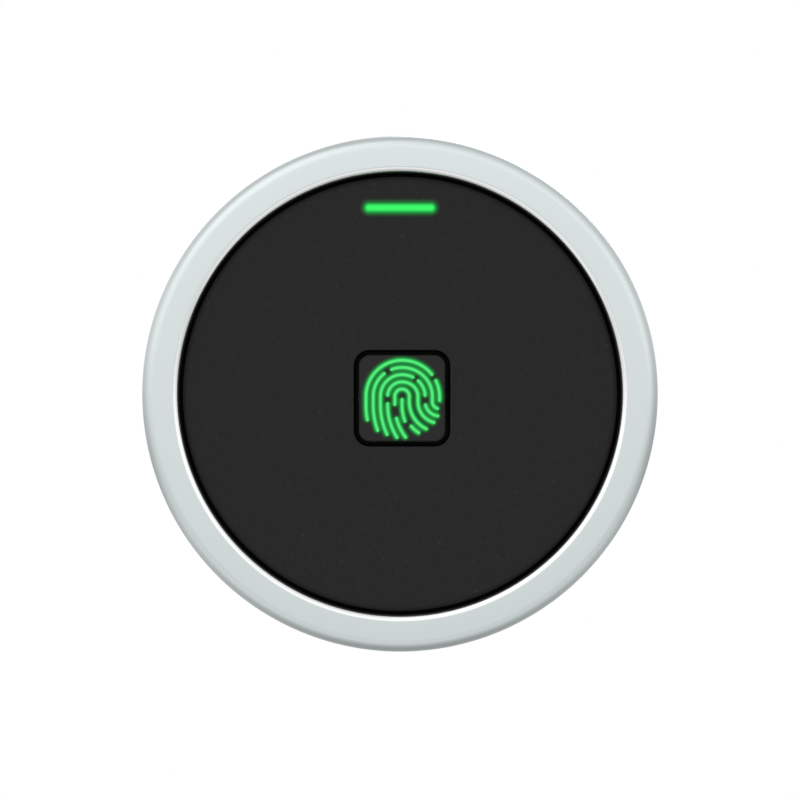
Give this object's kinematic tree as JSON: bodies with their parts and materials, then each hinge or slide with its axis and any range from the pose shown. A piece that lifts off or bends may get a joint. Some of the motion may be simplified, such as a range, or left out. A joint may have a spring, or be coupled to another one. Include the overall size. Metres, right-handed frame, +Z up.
{
  "type": "fingerprint scanner terminal",
  "caption": "Round wall-mounted fingerprint reader: satin metal ring, recessed black face with a lit bar and a square sensor window, on a wall plate held by a grub screw.",
  "frame": {"origin": "centre of the wall plane behind the terminal", "axes": "+Z up the wall, towards the light bar; -Y out of the wall, the way the face looks; +X to the right of a person who faces the terminal"},
  "size_m": [0.076, 0.022, 0.076],
  "materials": {
    "satin_metal": "satin, fine turned grain",
    "black_panel": "matt with a very fine grain",
    "black_sensor": "satin coating",
    "black_plastic": "fine moulded texture",
    "grey_plastic": "moulded",
    "white_plastic": "moulded",
    "rubber": "matt",
    "foam": "closed-cell foam",
    "tape": "double-sided foam tape",
    "green_light": "lit diffuser",
    "clear_led": "moulded resin",
    "laminate": "solder mask on glass-fibre laminate",
    "chip": "moulded epoxy",
    "steel": "bright zinc or nickel plate",
    "black_steel": "black oxide",
    "polyimide": "flexible film",
    "label": "blank foil"
  },
  "bodies": {
    "wall_side": {"wall_plate": "black_plastic", "wall_gasket": "foam"},
    "reader": {"housing": "satin_metal", "face_panel": "black_panel", "panel_adhesive": "tape", "light_bar": "green_light", "light_shroud": "black_plastic", "status_led_1": "clear_led", "status_led_2": "clear_led", "status_led_3": "clear_led", "sensor_seal": "rubber", "sensor_cover": "black_sensor", "icon_led_1": "clear_led", "icon_led_2": "clear_led", "icon_film": "green_light", "sensor_chip": "chip", "sensor_board": "laminate", "sensor_bracket": "steel", "bracket_screw_1": "steel", "bracket_screw_2": "steel", "sensor_ribbon": "polyimide", "ribbon_socket": "white_plastic", "main_board": "laminate", "mcu": "chip", "flash_chip": "chip", "crystal": "steel", "bus_driver": "chip", "relay": "white_plastic", "buzzer": "black_plastic", "capacitor": "steel", "inductor": "grey_plastic", "wire_socket": "white_plastic", "board_screw_1": "steel", "board_screw_2": "steel", "board_screw_3": "steel", "tamper_spring": "steel", "tamper_switch": "chip", "back_cover": "black_plastic", "cover_gasket": "rubber", "cable_grommet": "rubber", "cover_screw_1": "black_steel", "cover_screw_2": "black_steel", "cover_screw_3": "black_steel", "rating_label": "label"},
    "plunger": {"tamper_plunger": "grey_plastic"},
    "grub": {"grub_screw": "black_steel"}
  },
  "joints": [
    {"name": "reader_lift", "type": "slide", "parent": "wall_side", "child": "reader", "axis": [0, -1, 0], "range_m": [0, 0.03]},
    {"name": "tamper_slide", "type": "slide", "parent": "reader", "child": "plunger", "axis": [0, 1, 0], "range_m": [0, 0.0015], "stiffness_N_per_m": 150, "springref_m": 0.004, "deforming": ["tamper_spring"]},
    {"name": "grub_back_out", "type": "slide", "parent": "reader", "child": "grub", "axis": [0, 0, -1], "range_m": [0, 0.001]}
  ],
  "couplings": [
    {"joint": "tamper_slide", "follows": "reader_lift", "ratio": 0.05}
  ]
}
